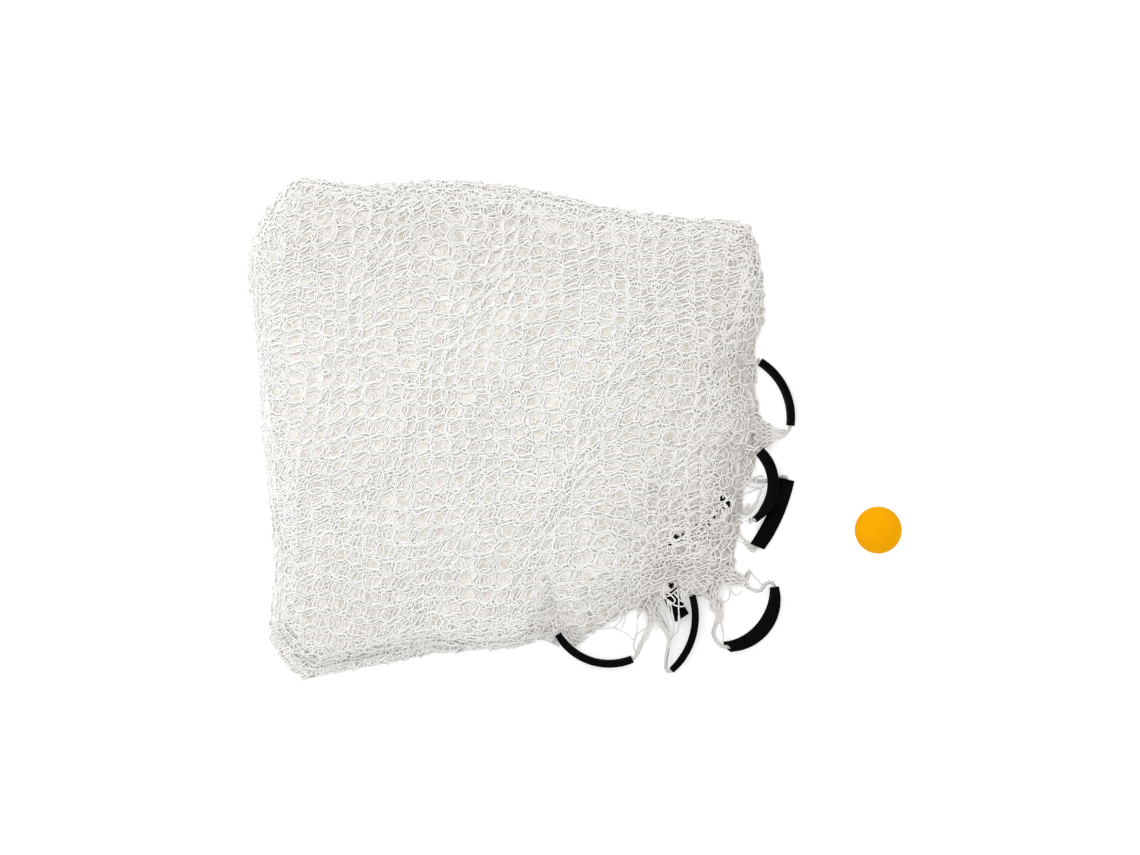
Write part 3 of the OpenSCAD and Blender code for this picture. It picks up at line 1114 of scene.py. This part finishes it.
def bunch_points(edges, heights, across, along, rise):
    """Points of a bunch: across is 0 to 1 from edge to edge, and along 0 to 1."""
    sides = [even_points(edge, 40)[0] for edge in edges]
    places = np.linspace(0, 1, 40)
    first, last = (between_rows(along, places, side) for side in sides)
    flat = first + (last - first) * across[:, None]
    return np.column_stack([flat, np.interp(along, (0, 1), heights) + rise]) * MM


def bunch_size(edges):
    """Greatest width and the length of a bunch."""
    (first, long_a), (last, long_b) = (even_points(edge, 12) for edge in edges)
    return np.hypot(*(last - first).T).max(), (long_a + long_b) / 2


def bunch_routes(edges, heights, taper):
    """Swinging twines over a bunch. With a taper of 1 they run straight at its end."""
    width, length = bunch_size(edges)
    twines, meshes = max(3, round(width / PLEAT)), max(2, round(length / BUNCH_MESH))
    along = np.linspace(0, 1, meshes * 5 + 1)
    routes = []
    for k in range(twines):
        swing = 0.48 * np.cos(np.pi * (meshes * along + k)) * (1 - taper * along)
        rise = 0.8 + 0.7 * np.sin(np.pi * (meshes * along + 1.7 * k))
        across = np.clip((k + 0.5 + swing) / twines, 0, 1)
        routes.append(bunch_points(edges, heights, across, along, rise))
    return routes


def single_twine(points, heights):
    """A twine between two heights, a little up and down."""
    route = flat_route(points, 1.5)
    share = np.linspace(0, 1, len(route))
    route[:, 2] = np.interp(share, (0, 1), heights) + 0.4 * np.sin(share * 9)
    return route * MM


def bunch_film(name, bunches, body):
    """The pleated ply of some bunches, each given with its heights, as one mesh."""
    bm = bmesh.new()
    for edges, heights in bunches:
        width, length = bunch_size(edges)
        pleats = max(2, round(width / PLEAT))
        grid, across, along = add_grid(bm, pleats * 6, max(6, round(length / 3)))
        rise = 0.6 * np.cos(across * pleats * 2 * np.pi) - 0.9
        place_vertices(grid, bunch_points(edges, heights, across, along, rise))
    return finish_piece(name, mesh_of(bm, name), ply_fill, body)


# %% The gathers, each baked into its mesh
def bend_at_handle(piece, handle):
    """Bakes a piece's place into its mesh. The direction out from its handle's fold line is worked
    out but not used.
    """
    first, last = (np.array(p, float) for p in FOLD_LINES[handle])
    out = np.array([first[1] - last[1], last[0] - first[0]])
    out /= np.linalg.norm(out)
    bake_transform(piece)


for node, handle, heights, bunches, singles in GATHERS:
    name = node.replace("net_gather", "gather")
    routes = [r for edges in bunches for r in bunch_routes(edges, heights, 0.9)]
    routes += [single_twine(points, heights) for points in singles]
    # The gathers' twine is painted greyer as shade.
    twine = sweep_twine(name, routes, GATHER_TWINE, twine_gather_shaded, None, roundness=1)
    bend_at_handle(twine, handle)
    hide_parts(node)
    if bunches:
        film = bunch_film(name + "_ply", [(edges, heights) for edges in bunches], None)
        bend_at_handle(film, handle)
    print(name, len(routes), "twines,", triangles(twine), "triangles")

# %% [markdown]
# Beside the ropes' ends the border of the net lies low, under the sleeves. One flap
# lies over the start of handle 5. Over the lower buried
# sleeve only a few single twines run. Each end of a free rope is held by a mesh that
# goes round it, with its two legs laid back into the net.

# %% Where the flaps and the twines over the open sleeve lie, in millimetres
FLAPS = [  # height at start and end, and two edges; the last flap is over handle 5
    ((5, 4), ([(-52, -292), (-40, -294), (-30, -298), (-21, -302)],
              [(-47, -280), (-37, -278), (-30.5, -284), (-22.5, -298)])),
    ((5, 5), ([(-40, -266), (-26, -259), (-14, -262), (-6, -272)],
              [(-38, -280), (-30, -281.5), (-22, -281), (-15.5, -279.5)])),
    ((5, 4), ([(-15.5, -278), (-12, -285), (-7, -292), (0, -301)],
              [(-8, -268), (2, -282), (12, -287), (20, -288)])),
    ((4.5, 4.5), ([(250, 114), (249.5, 104), (250, 95), (250.5, 86), (251, 76), (252, 62)],
                  [(238, 112), (233, 102), (231, 94), (233, 86), (238, 77), (244, 64)])),
    ((3.2, 3.2), ([(258, -10), (252, -22), (250, -34), (250, -48), (246, -60), (241, -72)],
                  [(244, -14), (237, -24), (234, -34), (233, -48), (233, -60), (233, -72)])),
    ((4.5, 4.5), ([(172, -233.5), (179, -229), (188, -226)],
                  [(168, -216), (178, -213), (190, -214)])),
    ((13.5, 12), ([(146, -225), (154, -228), (161, -225), (169, -232), (180, -230)],
                  [(140, -200), (152, -194), (166, -190), (182, -192), (196, -200)])),
]
SLEEVE_TWINES = [
    [(142, -222), (144, -237), (144, -252), (146, -269)],
    [(122, -232), (132, -239), (138, -244), (146, -246), (152, -245), (155, -240)],
    [(138, -228), (146, -237), (150, -239), (153, -233), (150, -224)],
    [(126, -234), (133, -245), (135, -255), (137, -264)],
    [(150, -224), (147, -231), (151, -236), (154, -231), (151, -225)],
    [(128, -226), (136, -233), (139, -238), (134, -243), (129, -239)],
]
BORDER_TWINE, LOOP_TWINE = 2.0 * MM, 1.8 * MM
LOOP_RADIUS, LOOP_PLACE = 4 * MM, 2.5 * MM  # round the rope, and along it from its end
LEG_LENGTH, LEG_SPREAD = 14 * MM, 3 * MM
print(len(FLAPS), "flaps and", len(SLEEVE_TWINES), "single twines")


# %% Flaps, rope loops and the twines over the sleeve
def rope_loop(end, toward):
    """A mesh round a rope's end, with its two legs laid back into the net."""
    along, side, up = unit_frame(toward - end)
    turn = np.radians(np.arange(-60, 241, 30))[:, None]
    ring = end + along * LOOP_PLACE + LOOP_RADIUS * (side * np.cos(turn) + up * np.sin(turn))
    inward = np.array([*PILE_CENTRE, 10 * MM]) - end
    inward *= LEG_LENGTH / np.linalg.norm(inward[:2])
    legs = [end + inward + side * LEG_SPREAD * k for k in (1, -1)]
    for leg in legs:
        leg[2] = max(3 * MM, min(leg[2], end[2]))
    route = smooth_route([legs[0], *ring, legs[1]], 1.5 * MM)
    route[:, 2] = np.maximum(route[:, 2], 1.2 * MM)
    return route


def lay_flaps(ending, flaps, body):
    """Flaps of border, as one piece of ply and one of twine."""
    bunches = [(edges, heights) for heights, edges in flaps]
    routes = [r for bunch in bunches for r in bunch_routes(*bunch, 0.0)]
    film = bunch_film("border_ply" + ending, bunches, body)
    return [film, sweep_twine("border_twine" + ending, routes, BORDER_TWINE, twine_white, body)]


border_pieces = lay_flaps("", FLAPS[:-1], "net") + lay_flaps("_5", FLAPS[-1:], None)
for piece in border_pieces[2:]:
    bend_at_handle(piece, 5)
over_routes = [single_twine(points, (13, 12)) for points in SLEEVE_TWINES]
over_sleeve = sweep_twine("sleeve_twines", over_routes, BORDER_TWINE, twine_white, roundness=1)
border_pieces.append(over_sleeve)
for i in range(6):
    route = rope_route(i)
    loops = [rope_loop(route[0], route[3]), rope_loop(route[-1], route[-4])]
    piece = sweep_twine(
        f"rope_loops_{i + 1}", loops, LOOP_TWINE, twine_white, None, roundness=1
    )
    bend_at_handle(piece, i + 1)
    border_pieces.append(piece)
for piece in border_pieces:
    print(f"{piece.name}: {triangles(piece)} triangles")

# %% [markdown]
# ## Sleeve grips
#
# A grip is a length of black foam tube, pressed flat to a 22 by 10 mm section and
# bent along the rope. The section is two rounded outlines joined into a ring, and
# spinning that ring about the arc's centre sweeps the sleeve, bore and all. Its
# square-cut ends get a small round. Foam this soft doesn't keep one section: it
# rolls a little along its arc and is pinched on the rope at its ends.


# %% A sleeve's section, and how it bends
PINCH_START, PINCH_END = 24, 16  # mm from each end, over which a sleeve gets narrower


def rounded_outline(bm, width, thickness):
    """A flattened circle in the plane of X and Z: two half circles and two flats."""
    ring = bmesh.ops.create_circle(bm, segments=24, radius=thickness / 2)["verts"]
    half_step = Matrix.Rotation(math.radians(7.5), 3, "Z")
    bmesh.ops.rotate(bm, cent=(0, 0, 0), matrix=half_step, verts=ring)
    for vertex in ring:
        vertex.co.x += math.copysign((width - thickness) / 2, vertex.co.x)
    stand = Matrix.Rotation(math.radians(90), 3, "X")
    bmesh.ops.rotate(bm, cent=(0, 0, 0), matrix=stand, verts=ring)
    return ring


def bend_sleeve(bm, i):
    """Narrows the flat-lying sleeve's ends, slants its start and rolls it along its arc."""
    sleeve, bend = SLEEVES[i], SLEEVE_BENDS[i]
    radius, sweep = sleeve[2], math.radians(sleeve[4])
    for vertex in bm.verts:
        angle = math.atan2(vertex.co.y, vertex.co.x)
        across, up = math.hypot(vertex.co.x, vertex.co.y) - radius, vertex.co.z
        share = min(max(angle / sweep, 0), 1)
        at_start = 1 - ease(share * sweep * radius, 0, PINCH_START)
        at_end = 1 - ease((1 - share) * sweep * radius, 0, PINCH_END)
        narrow = (1 - bend[3]) * at_start + (1 - bend[4]) * at_end
        side = across / SLEEVE_WIDTH + 0.5
        cut_in = (bend[5] + (bend[6] - bend[5]) * side) * at_start
        angle += cut_in / radius
        across, up = across * (1 - narrow), up * (1 - 0.25 * narrow)
        roll = math.radians(sleeve_roll(sleeve, share))
        out = radius + across * math.cos(roll) - up * math.sin(roll)
        high = across * math.sin(roll) + up * math.cos(roll) + sleeve_height(sleeve, share)
        vertex.co = (out * math.cos(angle), out * math.sin(angle), high)


# %% Sleeves spun from their section
def spin_sleeve(i):
    """One sleeve as a mesh: spun flat, then bent and put in its place."""
    x, y, radius, start, sweep, _, _ = SLEEVES[i]
    bm = bmesh.new()
    rounded_outline(bm, SLEEVE_WIDTH, SLEEVE_THICKNESS)
    rounded_outline(bm, SLEEVE_WIDTH - 2 * SLEEVE_WALL, SLEEVE_THICKNESS - 2 * SLEEVE_WALL)
    bmesh.ops.bridge_loops(bm, edges=bm.edges[:])
    bmesh.ops.translate(bm, vec=(radius, 0, 0), verts=bm.verts)
    bmesh.ops.spin(
        bm, geom=[*bm.verts, *bm.edges, *bm.faces], cent=(0, 0, 0), axis=(0, 0, 1),
        angle=math.radians(sweep), steps=36, use_duplicate=False,
    )
    bmesh.ops.recalc_face_normals(bm, faces=bm.faces)
    rims = [e for e in bm.edges if len(e.link_faces) == 2 and e.calc_face_angle() > 1.2]
    bmesh.ops.bevel(
        bm, geom=rims, offset=0.5, offset_type="OFFSET", segments=2, profile=0.5,
        affect="EDGES", material=-1,
    )
    bend_sleeve(bm, i)
    turn = Matrix.Rotation(math.radians(start), 3, "Z")
    bmesh.ops.rotate(bm, cent=(0, 0, 0), matrix=turn, verts=bm.verts)
    bmesh.ops.translate(bm, vec=(x, y, 0), verts=bm.verts)
    bmesh.ops.scale(bm, vec=(MM, MM, MM), verts=bm.verts)
    return mesh_of(bm, f"sleeve_{i + 1}")


for i in range(8):
    body = f"handle_{i + 1}" if i < 6 else "net"
    sleeve = finish_piece(f"sleeve_{i + 1}", spin_sleeve(i), foam_black, body)
    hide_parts(f"grip_{i + 1}")
    low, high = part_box(f"grip_{i + 1}")
    spots = np.array([v.co for v in sleeve.data.vertices])
    off = max(abs(spots.min(0) - low).max(), abs(spots.max(0) - high).max())
    print(f"{sleeve.name}: {triangles(sleeve)} triangles, {off * 1000:.2f} mm off the CAD box")

# %% [markdown]
# ## The ball
#
# A moulded rubber ball has a faint parting line where the two halves of its mould
# met. The sphere is cut along a tilted plane, and the corners that the cut adds are
# pressed in by a seventh of a millimetre.

# %% The ball and its parting line
BALL_RADIUS = 32.5 * MM
BALL_CENTRE = Vector((418.8 * MM, -140 * MM, BALL_RADIUS))
PARTING_TILT = Vector((0.35, 0.2, 0.9)).normalized()
PARTING_DEPTH = 0.15 * MM

ball_bm = bmesh.new()
bmesh.ops.create_icosphere(ball_bm, subdivisions=5, radius=BALL_RADIUS)
bmesh.ops.bisect_plane(
    ball_bm, geom=[*ball_bm.verts, *ball_bm.edges, *ball_bm.faces], dist=1e-6,
    plane_co=(0, 0, 0), plane_no=PARTING_TILT,
)
for vertex in ball_bm.verts:
    vertex.co = vertex.co.normalized() * BALL_RADIUS
    if abs(vertex.co.dot(PARTING_TILT)) < 1e-5:
        vertex.co *= 1 - PARTING_DEPTH / BALL_RADIUS
bmesh.ops.translate(ball_bm, vec=BALL_CENTRE, verts=ball_bm.verts)
ball_mesh = mesh_of(ball_bm, "play_ball_rubber")
ball = finish_piece("play_ball_rubber", ball_mesh, ball_rubber, "ball")
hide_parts("play_ball")
print("ball:", triangles(ball), "triangles")

# %% [markdown]
# ## Floor and light
#
# The floor is white paper. Its own white and a little light of its own, seen only
# by the camera, take it to pure white, and the object's soft shadow still darkens
# it. The light is a bright even sky with one large soft lamp from the upper left.

# %% A white floor that keeps the shadow
floor_bm = bmesh.new()
bmesh.ops.create_grid(floor_bm, x_segments=1, y_segments=1, size=8)
floor_mesh = mesh_of(floor_bm, "floor")
floor = bpy.data.objects.new("floor", floor_mesh)
floor.location.z = -0.5 * MM
bpy.context.scene.collection.objects.link(floor)

floor_white, tree, paper, _ = start_material("floor_white", (0.9, 0.9, 0.9), 1.0)
ray = add_node(tree, "LightPath", {}).outputs
set_inputs(paper, {
    "Specular IOR Level": 0.0,
    "Emission Color": (1, 1, 1, 1),
    "Emission Strength": add_math(tree, "MULTIPLY", ray["Is Camera Ray"], 0.35),
})
floor_mesh.materials.append(floor_white)

# %% Sky and lamp
world = bpy.data.worlds.new("studio")
bpy.context.scene.world = world
world.use_nodes = True
tree = world.node_tree
ray = add_node(tree, "LightPath", {}).outputs
seen = add_math(tree, "MAXIMUM", ray["Is Camera Ray"], ray["Is Glossy Ray"])
set_inputs(tree.nodes["Background"], {
    "Color": (1, 1, 1, 1),
    "Strength": add_range(tree, seen, (0.0, 1.0), (0.99, 1.0), "LINEAR"),
})

lamp_data = bpy.data.lights.new("soft_lamp", "AREA")
lamp_data.shape = "DISK"
lamp_data.size = 1.6
lamp_data.energy = 22
lamp = bpy.data.objects.new("soft_lamp", lamp_data)
lamp.location = (-1.6, 1.5, 2.4)
lamp.rotation_euler = (-lamp.location).to_track_quat("-Z", "Y").to_euler()
bpy.context.scene.collection.objects.link(lamp)
bpy.context.scene.view_settings.view_transform = "Standard"
